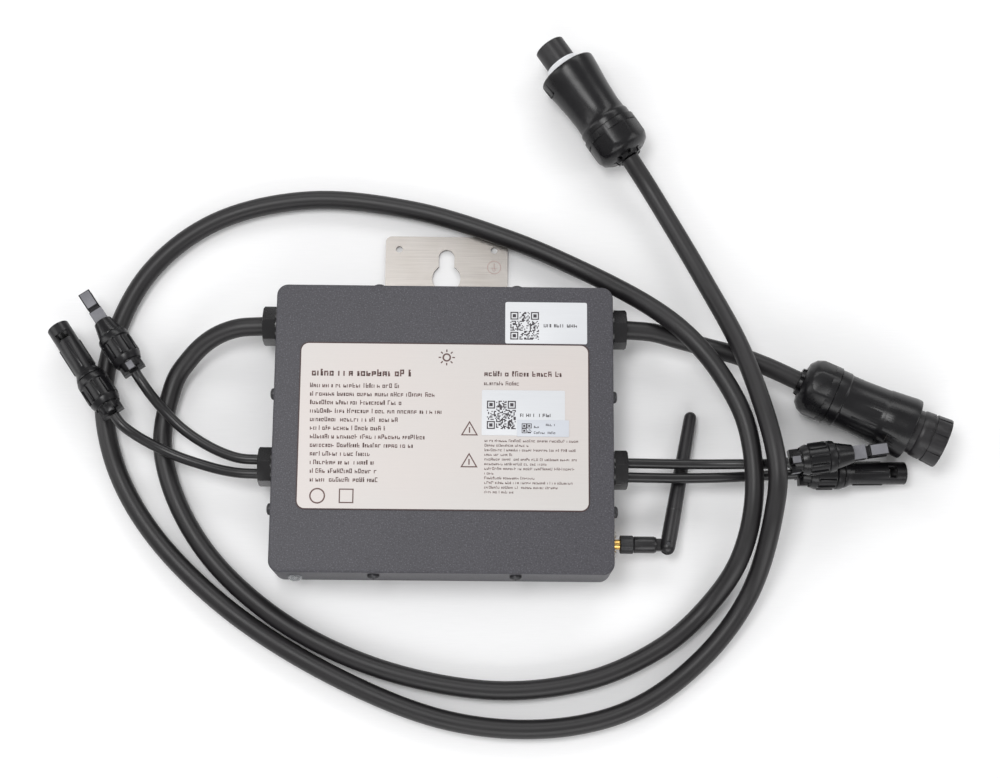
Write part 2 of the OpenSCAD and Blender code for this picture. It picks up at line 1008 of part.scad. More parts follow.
module dc_socket() {
    color("#151517")
        difference() {
            union() {
                dc_collet();
                translate([0, 0, 30])
                    rotate_extrude()
                        polygon([
                            [0, 0], [9, 0], [9, 1], [7.2, 5], [7.2, 41], [0, 41]
                        ]);
            }
            translate([0, 0, 42])
                cylinder(h = 31, r = 5.2);
            translate([0, 0, 40])
                cylinder(h = 3, r = 1.85);
            for (a = [0, 180])
                rotate([0, 0, a])
                    translate([4, -4.2, 59])
                        cube([5, 8.4, 5.5]);
        }
}

module dc_nut() {
    color("#19191b")
        difference() {
            translate([0, 0, 8])
                rotate_extrude()
                    polygon([
                        [0, 0], [8.4, 0], [10, 4], [10.1, 7], [10.1, 20], [9.6, 21.5], [0, 21.5]
                    ]);
            translate([0, 0, 7])
                cylinder(h = 30, r = 7.95);
            for (a = [0:36:324])
                rotate([0, 0, a])
                    translate([9.5, -0.9, 13])
                        cube([2, 1.8, 12]);
        }
}

module at_plug_left() {
    aim([-195, 36, 24.5], 124.5, 4)
        children();
}

module at_socket_left() {
    aim([-207, 8.5, 24.3], 124.7, 5)
        children();
}

module at_plug_right() {
    aim([214.6, -19.6, 36.5], 8.7, 3)
        children();
}

module at_socket_right() {
    aim([223, -23.5, 17.2], 2.3, 7.5)
        children();
}

// Contact sleeves seen at the bottom of each mating face
module dc_contacts() {
    color("#c0aa72") {
        at_plug_left()
            translate([0, 0, 57])
                cylinder(h = 1.5, r = 1.8);
        at_plug_right()
            translate([0, 0, 57])
                cylinder(h = 1.5, r = 1.8);
        at_socket_left()
            translate([0, 0, 40])
                cylinder(h = 2, r = 1.8);
        at_socket_right()
            translate([0, 0, 40])
                cylinder(h = 2, r = 1.8);
    }
}

base_housing();
top_cover();
cover_gasket();
cover_screws();
rating_plate();
data_stickers();
mounting_bracket();
bracket_screws();
status_led_lens();
ac_gland(-1);  // left_ac_gland
ac_gland(1);  // right_ac_gland
dc_gland(-1);  // left_dc_gland
dc_gland(1);  // right_dc_gland
gland_seals();
gland_lock_nuts();
cable_tails();
circuit_board();
board_screws();
transformers();
input_capacitors();
film_capacitors();
output_choke();
grid_relays();
power_transistors();
clamp_bar();
thermal_pads();
control_chips();
cable_terminals();
wifi_module();
antenna_pigtail();
antenna_jack();
jack_screws();
antenna_nut();
antenna_barrel();
tilt_pin();
antenna_whip();
antenna_element();
trunk_cable();
ac_short_cable();
dc_lead(dc_plug_left_route);  // dc_plug_lead_left
dc_lead(dc_socket_left_route);  // dc_socket_lead_left
dc_lead(dc_plug_right_route);  // dc_plug_lead_right
dc_lead(dc_socket_right_route);  // dc_socket_lead_right
ac_plug_shell();
ac_plug_nut();
ac_plug_spigot();
ac_plug_ring();
ac_socket_shell();
ac_socket_nut();
ac_socket_insert();
ac_contacts();
at_plug_left() dc_plug();  // dc_plug_left
at_plug_left() dc_nut();  // dc_plug_left_nut
at_socket_left() dc_socket();  // dc_socket_left
at_socket_left() dc_nut();  // dc_socket_left_nut
at_plug_right() dc_plug();  // dc_plug_right
at_plug_right() dc_nut();  // dc_plug_right_nut
at_socket_right() dc_socket();  // dc_socket_right
at_socket_right() dc_nut();  // dc_socket_right_nut
dc_contacts();
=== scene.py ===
import math
import random

import bmesh
import bpy
from mathutils import Matrix, Vector


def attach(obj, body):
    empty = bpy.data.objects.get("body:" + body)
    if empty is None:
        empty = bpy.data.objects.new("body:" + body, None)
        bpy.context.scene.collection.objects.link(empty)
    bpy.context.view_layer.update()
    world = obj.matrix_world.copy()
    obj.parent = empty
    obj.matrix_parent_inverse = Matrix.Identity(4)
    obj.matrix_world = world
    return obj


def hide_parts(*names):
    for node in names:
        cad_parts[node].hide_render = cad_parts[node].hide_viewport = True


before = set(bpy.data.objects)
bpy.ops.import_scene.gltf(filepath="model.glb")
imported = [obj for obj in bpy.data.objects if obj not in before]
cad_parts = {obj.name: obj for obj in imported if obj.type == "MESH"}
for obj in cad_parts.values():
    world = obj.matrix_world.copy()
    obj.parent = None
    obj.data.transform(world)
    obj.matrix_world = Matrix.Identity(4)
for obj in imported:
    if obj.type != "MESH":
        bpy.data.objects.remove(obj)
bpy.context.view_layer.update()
mm = 0.001


# camera, lights and table

studio = {
    "lookAt": (35.6, 33.5, 0.0),      # mm
    "distance": 1164.4,
    "tilt": (12.65, -0.89, 0.59),     # degrees about X, Y, Z
    "lens": 64.8,
    "sensor": 36.0,
    "clip": (0.05, 20),               # m
    "worldLight": 0.42,
    "floorSize": 6.0,                 # m
    "floorColour": (0.93, 0.93, 0.935),
}
softboxes = {                         # place, target and size in m, power in W
    "topSoftbox": ((-0.35, 0.15, 1.6), (0.02, 0.0, 0), (0.7, 0.5), 9.5),
    "backSoftbox": ((0.2, 1.3, 1.0), (0, 0, 0), (1.6, 0.5), 7.5),
    "frontSoftbox": ((0.2, -1.3, 0.8), (0, 0, 0), (1.6, 0.6), 9),
    "leftSoftbox": ((-1.4, 0.1, 0.8), (0, 0, 0), (0.5, 1.4), 5),
    "rightSoftbox": ((1.45, 0.2, 0.8), (0, 0, 0), (0.5, 1.4), 5),
}
bpy.context.scene.view_settings.view_transform = "Standard"


def makeCamera(s):
    data = bpy.data.cameras.new("studioCamera")
    data.lens = s["lens"]
    data.sensor_width = s["sensor"]
    data.clip_start, data.clip_end = s["clip"]
    cam = bpy.data.objects.new("studioCamera", data)
    turn = Matrix.Identity(4)
    for angle, axis in zip(s["tilt"], "XYZ"):
        turn = turn @ Matrix.Rotation(math.radians(angle), 4, axis)
    place = Vector(s["lookAt"]) + turn @ Vector((0, 0, s["distance"]))
    cam.matrix_world = Matrix.Translation(place * mm) @ turn
    bpy.context.scene.collection.objects.link(cam)
    bpy.context.scene.camera = cam


def makeLight(name, place, target, size, power):
    data = bpy.data.lights.new(name, "AREA")
    data.shape = "RECTANGLE"
    data.size, data.size_y = size
    data.energy = power
    lamp = bpy.data.objects.new(name, data)
    lamp.location = place
    lamp.rotation_mode = "QUATERNION"
    lamp.rotation_quaternion = (Vector(target) - Vector(place)).to_track_quat("-Z", "Y")
    bpy.context.scene.collection.objects.link(lamp)


makeCamera(studio)
for name, (place, target, size, power) in softboxes.items():
    makeLight(name, place, target, size, power)

world = bpy.data.worlds.new("studioWorld")
bpy.context.scene.world = world
world.use_nodes = True
world.node_tree.nodes["Background"].inputs["Color"].default_value = (1, 1, 1, 1)
world.node_tree.nodes["Background"].inputs["Strength"].default_value = studio["worldLight"]
print("studio ready")


# materials

def startMaterial(name):
    mat = bpy.data.materials.new(name)
    mat.use_nodes = True
    return mat, mat.node_tree.nodes, mat.node_tree.links, mat.node_tree.nodes["Principled BSDF"]


def objectCoords(nodes, links, stretch=(1, 1, 1)):
    coords = nodes.new("ShaderNodeTexCoord")
    mapping = nodes.new("ShaderNodeMapping")
    mapping.inputs["Scale"].default_value = stretch
    links.new(coords.outputs["Object"], mapping.inputs["Vector"])
    return mapping.outputs["Vector"]


def noise(nodes, links, vector, scale, detail=3.0, rough=0.55):
    tex = nodes.new("ShaderNodeTexNoise")
    tex.inputs["Scale"].default_value = scale
    tex.inputs["Detail"].default_value = detail
    tex.inputs["Roughness"].default_value = rough
    links.new(vector, tex.inputs["Vector"])
    return tex.outputs["Fac"]


def ramp(nodes, links, value, stops):
    node = nodes.new("ShaderNodeValToRGB")
    while len(node.color_ramp.elements) < len(stops):
        node.color_ramp.elements.new(0.5)
    for element, (place, colour) in zip(node.color_ramp.elements, stops):
        element.position = place
        element.color = (*colour, 1)
    links.new(value, node.inputs["Fac"])
    return node.outputs["Color"]


def remap(nodes, links, value, low, high):
    node = nodes.new("ShaderNodeMapRange")
    node.inputs["To Min"].default_value = low
    node.inputs["To Max"].default_value = high
    links.new(value, node.inputs["Value"])
    return node.outputs["Result"]


def mixColour(nodes, links, amount, first, second, blend="MIX"):
    node = nodes.new("ShaderNodeMix")
    node.data_type = "RGBA"
    node.blend_type = blend
    for socket, value in ((node.inputs[0], amount), (node.inputs[6], first), (node.inputs[7], second)):
        if hasattr(value, "is_output"):
            links.new(value, socket)
        elif isinstance(value, tuple):
            socket.default_value = (*value, 1)
        else:
            socket.default_value = value
    return node.outputs[2]


def bump(nodes, links, bsdf, height, strength, distance):
    node = nodes.new("ShaderNodeBump")
    node.inputs["Strength"].default_value = strength
    node.inputs["Distance"].default_value = distance
    links.new(height, node.inputs["Height"])
    links.new(node.outputs["Normal"], bsdf.inputs["Normal"])


def shade(colour, factor):
    return tuple(c * factor for c in colour)


# a sprayed coat with fine pimples and light specks
def powderCoat(name, colour, speck, roughness):
    mat, nodes, links, bsdf = startMaterial(name)
    at = objectCoords(nodes, links)
    cloud = ramp(nodes, links, noise(nodes, links, at, 14, 3),
                 [(0.3, shade(colour, 0.93)), (0.7, shade(colour, 1.07))])
    grain = noise(nodes, links, at, 1150, 2, 0.7)
    specks = ramp(nodes, links, grain, [(0.52, (0, 0, 0)), (0.72, (1, 1, 1))])
    darks = ramp(nodes, links, noise(nodes, links, at, 820, 2, 0.6),
                 [(0.3, (1, 1, 1)), (0.47, (0, 0, 0))])
    body = mixColour(nodes, links, specks, cloud, speck)
    body = mixColour(nodes, links, darks, body, shade(colour, 0.72))
    links.new(body, bsdf.inputs["Base Color"])
    links.new(remap(nodes, links, grain, roughness - 0.12, roughness + 0.12), bsdf.inputs["Roughness"])
    bump(nodes, links, bsdf, noise(nodes, links, at, 1400, 3, 0.6), 0.55, 0.00025)
    return mat


# moulded plastic or rubber: faint mottling, a little dust and fine skin
def moulded(name, colour, roughness, grain=0.12, scale=900, dust=0.25, sheen=0.5):
    mat, nodes, links, bsdf = startMaterial(name)
    at = objectCoords(nodes, links)
    wide = noise(nodes, links, at, 55, 4, 0.6)
    fine = noise(nodes, links, at, scale, 3, 0.6)
    base = ramp(nodes, links, wide, [(0.3, shade(colour, 0.8)), (0.7, shade(colour, 1.25))])
    dusty = ramp(nodes, links, fine, [(0.6, (0, 0, 0)), (0.78, (dust, dust, dust))])
    body = mixColour(nodes, links, dusty, base, tuple(min(1, c * 1.5 + 0.05) for c in colour))
    links.new(body, bsdf.inputs["Base Color"])
    links.new(remap(nodes, links, wide, roughness - 0.07, roughness + 0.1), bsdf.inputs["Roughness"])
    bsdf.inputs["Specular IOR Level"].default_value = sheen
    bump(nodes, links, bsdf, fine, grain, 0.0002)
    return mat


# metal brushed along one axis
def brushed(name, colour, roughness, stretch, tint=0.12, metallic=1.0, grain=0.25):
    mat, nodes, links, bsdf = startMaterial(name)
    lines = noise(nodes, links, objectCoords(nodes, links, stretch), 1.0, 4, 0.7)
    cloud = noise(nodes, links, objectCoords(nodes, links), 30, 3)
    base = ramp(nodes, links, lines, [(0.3, shade(colour, 1 - tint)), (0.7, shade(colour, 1 + tint))])
    stained = ramp(nodes, links, cloud, [(0.35, (0.93, 0.92, 0.9)), (0.65, (1, 1, 1))])
    links.new(mixColour(nodes, links, 1.0, base, stained, "MULTIPLY"), bsdf.inputs["Base Color"])
    links.new(remap(nodes, links, lines, roughness - 0.08, roughness + 0.14), bsdf.inputs["Roughness"])
    bsdf.inputs["Metallic"].default_value = metallic
    bump(nodes, links, bsdf, lines, grain, 0.0001)
    return mat


# printed foil: almost even, with a warm and a cool side and faint brushing
def foil(name, warm, cool, roughness, metallic):
    mat, nodes, links, bsdf = startMaterial(name)
    wide = noise(nodes, links, objectCoords(nodes, links), 9, 2, 0.5)
    lines = noise(nodes, links, objectCoords(nodes, links, (60, 2600, 60)), 1.0, 3, 0.6)
    base = ramp(nodes, links, wide, [(0.35, warm), (0.65, cool)])
    brush = ramp(nodes, links, lines, [(0.3, (0.965, 0.965, 0.965)), (0.7, (1, 1, 1))])
    links.new(mixColour(nodes, links, 1.0, base, brush, "MULTIPLY"), bsdf.inputs["Base Color"])
    links.new(remap(nodes, links, lines, roughness - 0.05, roughness + 0.08), bsdf.inputs["Roughness"])
    bsdf.inputs["Metallic"].default_value = metallic
    bump(nodes, links, bsdf, lines, 0.08, 0.00005)
    return mat


def clearPlastic(name):
    mat, nodes, links, bsdf = startMaterial(name)
    at = objectCoords(nodes, links)
    haze = noise(nodes, links, at, 300, 2)
    links.new(ramp(nodes, links, haze, [(0.3, (0.85, 0.88, 0.9)), (0.7, (0.97, 0.98, 1))]),
              bsdf.inputs["Base Color"])
    links.new(remap(nodes, links, haze, 0.05, 0.2), bsdf.inputs["Roughness"])
    bsdf.inputs["Transmission Weight"].default_value = 0.75
    bsdf.inputs["IOR"].default_value = 1.49
    return mat


# powderCoat: colour, speck and roughness; moulded: colour, roughness, grain, scale, dust and sheen;
# brushed: colour, roughness, stretch, tint, metallic and grain; foil: warm, cool, roughness, metallic
coat = powderCoat("powderCoat", (0.044, 0.0425, 0.0515), (0.12, 0.118, 0.135), 0.5)
plasticBlack = moulded("plasticBlack", (0.006, 0.0057, 0.0068), 0.27, 0.1, 700, 0.1, 0.36)
plasticSatin = moulded("plasticSatin", (0.012, 0.011, 0.0125), 0.36, 0.2, 1400, 0.15, 0.42)
aerialPlastic = moulded("aerialPlastic", (0.013, 0.012, 0.0135), 0.33, 0.2, 1400, 0.2, 0.5)
glandPlastic = moulded("glandPlastic", (0.009, 0.0085, 0.0095), 0.24, 0.2, 500, 0.15, 0.5)
jacket = moulded("cableJacket", (0.0085, 0.0075, 0.0085), 0.42, 0.1, 1100, 0.06)
leadJacket = moulded("leadJacket", (0.009, 0.0085, 0.0095), 0.3, 0.1, 1300, 0.1)
# painted reflection: the plugs' claw faces and latch pads are black plastic, greyed to stand for the light
# glinting on them
paintedReflectionGrey = moulded("clawPaintedReflection", (0.15, 0.15, 0.165), 0.4, 0.5, 1300, 0.6)
rubberBlack = moulded("rubberBlack", (0.02, 0.02, 0.02), 0.6, 0.3, 1200, 0.2)
sealWhite = moulded("sealWhite", (0.83, 0.84, 0.87), 0.4, 0.1, 900, 0.1)
ink = moulded("inkBrown", (0.1, 0.055, 0.05), 0.55, 0.1, 1500, 0.5)
inkBlack = moulded("inkBlack", (0.035, 0.028, 0.034), 0.55, 0.1, 1500, 0.4)
inkRed = moulded("inkRed", (0.42, 0.3, 0.28), 0.5, 0.1, 1500, 0.3)
plateEdge = moulded("plateEdge", (0.045, 0.022, 0.022), 0.5, 0.1, 900, 0.2)
plateFoil = foil("plateFoil", (0.585, 0.54, 0.52), (0.565, 0.545, 0.53), 0.45, 0.1)
labelPaper = foil("labelPaper", (0.63, 0.645, 0.67), (0.67, 0.68, 0.7), 0.4, 0.0)
labelSmall = foil("labelSmall", (0.56, 0.585, 0.635), (0.6, 0.62, 0.66), 0.42, 0.0)
steel = brushed("brushedSteel", (0.43, 0.405, 0.385), 0.34, (25, 2400, 25), 0.16, 0.85)
screwBlack = brushed("screwBlack", (0.055, 0.055, 0.06), 0.38, (400, 400, 400), 0.2, 0.6)
screwPlain = brushed("screwPlain", (0.5, 0.49, 0.48), 0.35, (500, 500, 500))
gold = brushed("goldPlate", (0.86, 0.55, 0.17), 0.22, (300, 2500, 2500), 0.15)
nutBlack = brushed("nutBlack", (0.04, 0.04, 0.043), 0.4, (1500, 300, 300), 0.25, 0.5)
lens = clearPlastic("clearLens")
boardGreen = moulded("boardGreen", (0.02, 0.12, 0.05), 0.35, 0.2, 400, 0.3)
woundCopper = brushed("woundCopper", (0.45, 0.2, 0.09), 0.4, (900, 900, 3000), 0.3, 0.7)
ferrite = moulded("ferrite", (0.03, 0.03, 0.032), 0.65, 0.4, 900, 0.3)
canBlue = moulded("canBlue", (0.025, 0.05, 0.16), 0.35, 0.1, 700, 0.15)
filmYellow = moulded("filmYellow", (0.6, 0.38, 0.06), 0.4, 0.1, 700, 0.15)
aluBar = brushed("aluBar", (0.7, 0.7, 0.71), 0.4, (30, 1800, 1800))
padBlue = moulded("padBlue", (0.28, 0.36, 0.42), 0.75, 0.5, 600, 0.3)
print("materials ready")


# helpers for pieces

def addPiece(name, bm, materials, body, nodeNames=(), smoothAngle=35):
    mesh = bpy.data.meshes.new(name)
    bm.to_mesh(mesh)
    bm.free()
    for m in materials:
        mesh.materials.append(m)
    mesh.shade_smooth()
    mesh.set_sharp_from_angle(angle=math.radians(smoothAngle))
    obj = bpy.data.objects.new(name, mesh)
    bpy.context.scene.collection.objects.link(obj)
    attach(obj, body)
    if nodeNames:
        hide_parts(*nodeNames)
    return obj


def bevelEdges(obj, width, segments=2, angle=38):
    mod = obj.modifiers.new("softEdges", "BEVEL")
    mod.width = width * mm
    mod.segments = segments
    mod.limit_method = "ANGLE"
    mod.angle_limit = math.radians(angle)
    mod.use_clamp_overlap = True
    mod.harden_normals = True


# the frame's own solid, welded, with its flat faces made whole again
def weldedCopy(node):
    bm = bmesh.new()
    bm.from_mesh(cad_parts[node].data)
    bmesh.ops.remove_doubles(bm, verts=bm.verts, dist=1e-6)
    bmesh.ops.dissolve_limit(bm, angle_limit=math.radians(0.6), verts=bm.verts, edges=bm.edges)
    return bm


def softCopy(node, name, material, edge, segments=2, body="root"):
    obj = addPiece(name, weldedCopy(node), [material], body, [node])
    bevelEdges(obj, edge, segments)


# turns +Z to a heading in the XY plane, dipped below it, as the connectors lie
def aim(place, heading, dip):
    turn = Matrix.Rotation(math.radians(heading), 4, "Z") @ Matrix.Rotation(math.radians(90 + dip), 4, "Y")
    return Matrix.Translation(Vector(place) * mm) @ turn


def box(bm, low, high):
    made = bmesh.ops.create_cube(bm, size=1.0)["verts"]
    centre = [(a + b) / 2 * mm for a, b in zip(low, high)]
    size = [(b - a) * mm for a, b in zip(low, high)]
    bmesh.ops.scale(bm, vec=size, verts=made)
    bmesh.ops.translate(bm, vec=centre, verts=made)
    return made


# adds a small mesh to a large one, which is quicker than growing the large one box by box
def joinTo(page, bm):
    part = bpy.data.meshes.new("part")
    bm.to_mesh(part)
    bm.free()
    page.from_mesh(part)
    bpy.data.meshes.remove(part)


# a block with softened edges, made in millimetres and turned to its spot
def softBlock(page, spot, low, high, soft):
    bm = bmesh.new()
    box(bm, low, high)
    bmesh.ops.bevel(bm, geom=list(bm.edges), offset=soft * mm, segments=2, affect="EDGES",
                    profile=0.5, material=-1)
    bmesh.ops.transform(bm, matrix=spot, verts=bm.verts)
    joinTo(page, bm)


# cords

cords = {
    "trunkCable": {
        "node": "trunk_cable", "diameter": 12, "farEnd": "plug", "stiffness": "stiff", "material": jacket,
        "with": ["acPlugShell", "acPlugNut", "acPlugSpigot", "acPlugRing", "acPlugDetails", "ac_contacts",
                 "cable_tails"],
        "route": [
            (-115.5, 68, 22), (-133, 66.6, 21.2), (-149, 60.5, 18), (-163, 48.5, 13), (-174, 30, 9),
            (-179, -8, 6.4), (-165, -50, 6.3), (-136, -89, 6.3), (-90, -124, 6.3), (-32, -148.5, 6.3),
            (33, -159.5, 6.3), (91, -153, 6.3), (136, -133, 6.2), (166, -107, 8.5), (185, -78, 25),
            (193, -40, 36.5), (189.5, 2, 37.5), (175, 35, 35.5), (154, 62, 33.5), (128, 85, 25),
            (88, 110.5, 12), (40, 132, 9.5), (-22, 151.5, 7), (-90, 158, 6.3), (-152, 142, 6.3),
            (-196, 103, 6.3), (-217, 45, 6.3), (-212, -10, 6.3), (-184, -62, 6.3), (-133, -111, 6.3),
            (-68, -150.5, 6.3), (0, -177, 6.3), (63, -182.8, 6.3), (118, -170.5, 6.4), (162, -139.5, 7.5),
            (192, -99, 16), (204.5, -52, 39), (205, -14, 46.4), (189.5, 48, 34.5), (166, 103, 20),
            (136, 159, 15.5), (119.2, 184.9, 20),
        ],
    },
    "acShortCable": {
        "node": "ac_short_cable", "diameter": 12, "farEnd": "plug", "stiffness": "stiff", "material": jacket,
        "with": ["acSocketShell", "acSocketNut", "acSocketInsert", "acSocketDetails"],
        "route": [
            (115.5, 68, 22), (133, 66.8, 21), (150, 62.5, 19.8), (168, 57.8, 19.2), (186, 53, 19.3),
            (206, 45.5, 19.6), (225.6, 36.3, 20),
        ],
    },
    "dcPlugLeadLeft": {
        "node": "dc_plug_lead_left", "diameter": 6.5, "farEnd": "plug", "stiffness": "medium",
        "material": leadJacket, "with": ["dcPlugLeft", "dcPlugNutLeft", "dcPlugFacesLeft", "dc_contacts"],
        "route": [
            (-115.5, -18.5, 22), (-128, -17.5, 21.2), (-141, -13, 19.5), (-154, -6, 18), (-166, 2.5, 17.5),
            (-176.5, 12.5, 19.3), (-184.5, 21.5, 23.2), (-191, 30.2, 25), (-195, 36, 24.5),
        ],
    },
    "dcSocketLeadLeft": {
        "node": "dc_socket_lead_left", "diameter": 6.5, "farEnd": "connector", "stiffness": "medium",
        "material": leadJacket, "with": ["dcSocketLeft", "dcSocketNutLeft", "dcSocketFacesLeft"],
        "route": [
            (-115.5, -27.5, 22), (-128, -26.8, 21), (-141, -24.3, 19), (-154, -20.5, 17.5),
            (-166, -16.5, 17), (-178, -11.5, 18), (-188.5, -6.4, 20.6), (-196, -2, 23.2),
            (-202.2, 2.6, 24.5), (-207, 8.5, 24.3),
        ],
    },
    "dcPlugLeadRight": {
        "node": "dc_plug_lead_right", "diameter": 6.5, "farEnd": "plug", "stiffness": "medium",
        "material": leadJacket, "with": ["dcPlugRight", "dcPlugNutRight", "dcPlugFacesRight"],
        "route": [
            (115.5, -18.5, 22), (131, -18.5, 21.3), (150, -18.5, 20.5), (168, -18.5, 21), (184, -18.8, 24),
            (195, -19.5, 28.2), (202, -20.1, 32.8), (208, -20.4, 35.6), (214.6, -19.6, 36.5),
        ],
    },
    "dcSocketLeadRight": {
        "node": "dc_socket_lead_right", "diameter": 6.5, "farEnd": "connector", "stiffness": "medium",
        "material": leadJacket, "with": ["dcSocketRight", "dcSocketNutRight", "dcSocketFacesRight"],
        "route": [
            (115.5, -27.5, 22), (131, -27.5, 21), (150, -27.3, 19.5), (175, -26.5, 18.6), (200, -25, 18),
            (223, -23.5, 17.2),
        ],
    },
}


def makeCord(name, c):
    points = [Vector(p) * mm for p in c["route"]]
    data = bpy.data.curves.new(name, "CURVE")
    data.dimensions = "3D"
    data.resolution_u = 10
    data.bevel_depth = c["diameter"] / 2 * mm
    data.bevel_resolution = 7
    data.use_fill_caps = True
    spline = data.splines.new("BEZIER")
    spline.bezier_points.add(len(points) - 1)
    for i, (knot, p) in enumerate(zip(spline.bezier_points, points)):
        before = points[i - 1] if i else 2 * p - points[1]
        after = points[i + 1] if i + 1 < len(points) else 2 * p - points[i - 1]
        knot.handle_left_type = knot.handle_right_type = "FREE"
        knot.co = p
        knot.handle_left = p - (after - before) / 6
        knot.handle_right = p + (after - before) / 6
    data.materials.append(c["material"])
    obj = bpy.data.objects.new(name, data)
    bpy.context.scene.collection.objects.link(obj)
    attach(obj, "root")
    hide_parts(c["node"])
    return obj


def splineLength(c, steps=24):
    points = [Vector(p) for p in c["route"]]
    total, last = 0, points[0]
    for i in range(len(points) - 1):
        b, n = points[i], points[i + 1]
        a = points[i - 1] if i else 2 * b - n
        d = points[i + 2] if i + 2 < len(points) else 2 * n - b
        for k in range(1, steps + 1):
            t = k / steps
            p = 0.5 * (2 * b + (n - a) * t + (2 * a - 5 * b + 4 * n - d) * t * t
                       + (3 * b - a - 3 * n + d) * t ** 3)
            total += (p - last).length
            last = p
    return total * mm


cordPieces = {name: makeCord(name, c) for name, c in cords.items()}
print("cords laid")


# housing

housing = {                           # node, material, slot, softened edge in mm
    "baseHousing": ("base_housing", coat, "housing_coat", 0.35),
    "topCover": ("top_cover", coat, "cover_coat", 0.25),
    "coverScrews": ("cover_screws", screwBlack, "black_screws", 0.12),
    "mountingBracket": ("mounting_bracket", steel, "stainless", 0.25),
    "statusLens": ("status_led_lens", lens, "clear_lens", 0.1),
}
for name, (node, mat, slotName, edge) in housing.items():
    softCopy(node, name, mat, edge)

# the glands' hexagons are turned a little about their own axes, the cable holes stay
glands = {                            # node and the axis' Y in mm
    "leftAcGland": ("left_ac_gland", 68), "rightAcGland": ("right_ac_gland", 68),
    "leftDcGland": ("left_dc_gland", -23), "rightDcGland": ("right_dc_gland", -23),
}
glandTurn = {"height": 22, "outside": 10.6, "wall": 105.9, "degrees": -14, "edge": 0.45}
for name, (node, y) in glands.items():
    bm = weldedCopy(node)
    axis = Vector((0, y, glandTurn["height"])) * mm
    outer = [v for v in bm.verts if abs(v.co.x) > glandTurn["wall"] * mm
             and math.hypot(v.co.y - axis.y, v.co.z - axis.z) > glandTurn["outside"] * mm]
    turn = Matrix.Rotation(math.radians(glandTurn["degrees"]), 3, "X")
    bmesh.ops.rotate(bm, cent=axis, matrix=turn, verts=outer)
    obj = addPiece(name, bm, [glandPlastic], "root", [node])
    bevelEdges(obj, glandTurn["edge"], 3)
print("housing done")


# rating plate and stickers

plate = {
    "centre": (0.3, 0.5), "size": (181, 106), "corner": 5.5, "bottom": 40.0, "top": 40.5,
    "border": 0.7, "edge": 0.08,
}
print3d = {
    "height": 0.03,
    "heading": {"x": (-82.5, -18.4), "y": 34.0, "letter": 3.4, "tall": 4.4, "line": 0.27},
    "rowStart": -83.4, "rowTop": 25.8, "rowPitch": 5.41, "rowDrift": 0.14,
    "rowEnds": (-27, -4.3, -25.8, 0.3, -27.2, -34.7, -10.1, -17.9, -43.7, -41.3, -40.6, -40),
    "rowTall": 2.9, "rowLetter": 2.15, "rowLine": 0.25,
    "typeRow": {"x": (25.1, 74.9), "y": 34.2, "letter": 2.8, "tall": 3.4, "line": 0.26},
    "numberRow": {"x": (25.0, 47.8), "y": 28.0, "letter": 2.1, "tall": 2.5, "line": 0.2},
    "tinyStart": 25.6, "tinyEnds": (83.6, 53.8, 82.8, 44, 83.9, 65, 82.7, 32, 56.7, 81.1, 70.6, 44.6),
    "tinyTop": -8.4, "tinyPitch": 2.93, "tinyTall": 1.7, "tinyLetter": 1.5,
    "triangles": ((16.2, -2.2), (16.1, -22.3)), "triangleSize": 6.2, "triangleLine": 0.75,
    "triangleBar": (0.4, -1.4, 2.2),  # half width, bottom and top
    "ring": (-77.0, -44.0, 4.9), "ringLine": 0.9, "tile": (-59.2, -43.9, 6.4), "tileLine": 0.75,
    "sun": (1.5, 44.3, 2.7), "sunLine": 1.0, "rays": 8,
    "ray": (0.8, 2.4, 0.4),           # start and end outside the ring, half width
}


def roundSlab(size, corner, bottom, top, centre, edge):
    bm = bmesh.new()
    made = bmesh.ops.create_cube(bm, size=1.0)["verts"]
    bmesh.ops.scale(bm, vec=(size[0] * mm, size[1] * mm, (top - bottom) * mm), verts=made)
    bmesh.ops.translate(bm, vec=(centre[0] * mm, centre[1] * mm, (top + bottom) / 2 * mm), verts=made)
    upright = [e for e in bm.edges if abs((e.verts[0].co - e.verts[1].co).normalized().z) > 0.9]
    bmesh.ops.bevel(bm, geom=upright, offset=corner * mm, segments=10, affect="EDGES",
                    profile=0.5, material=-1)
    rim = [e for e in bm.edges if all(abs(v.co.z - top * mm) < 1e-7 for v in e.verts)]
    bmesh.ops.bevel(bm, geom=rim, offset=edge * mm, segments=2, affect="EDGES",
                    profile=0.5, material=-1)
    return bm


def topFace(bm, height):
    return max((f for f in bm.faces if abs(f.calc_center_median().z - height * mm) < 1e-6),
               key=lambda f: f.calc_area())


bm = roundSlab(plate["size"], plate["corner"], plate["bottom"], plate["top"], plate["centre"],
               plate["edge"])
bmesh.ops.inset_region(bm, faces=[topFace(bm, plate["top"])], thickness=plate["border"] * mm)
topFace(bm, plate["top"]).material_index = 1
addPiece("ratingPlate", bm, [plateEdge, plateFoil], "root", ["rating_plate"])

# each sticker's box, heights, dot code (low corner, size, cells) and rows (start, end, middle line,
# letter width, letter height)
stickerEdge = 0.05
stickers = {
    "serialSticker": {
        "box": ((38, 53.8), (89.5, 80.8)), "z": (40.0, 40.2), "corner": 1.2, "mat": labelPaper,
        "code": ((41.2, 56.4), 18.0, 25), "rows": ((62.2, 83.4, 66.0, 2.3, 2.9),),
    },
    "plateSticker": {
        "box": ((23.7, -5.1), (75.5, 23.7)), "z": (40.5, 40.65), "corner": 0.8, "mat": labelPaper,
        "code": ((26.9, -1.1), 18.0, 25), "rows": ((47.6, 68.8, 8.2, 2.3, 2.9),),
    },
    "smallSticker": {
        "box": ((45.7, -5.7), (78.0, 4.8)), "z": (40.65, 40.8), "corner": 0.4, "mat": labelSmall,
        "code": ((48.6, -3.6), 6.2, 14),
        "rows": ((56.2, 60.4, 0.4, 1.3, 1.4), (63.6, 70.6, 2.0, 1.6, 1.9), (56.2, 69.4, -3.2, 1.4, 1.5)),
    },
}
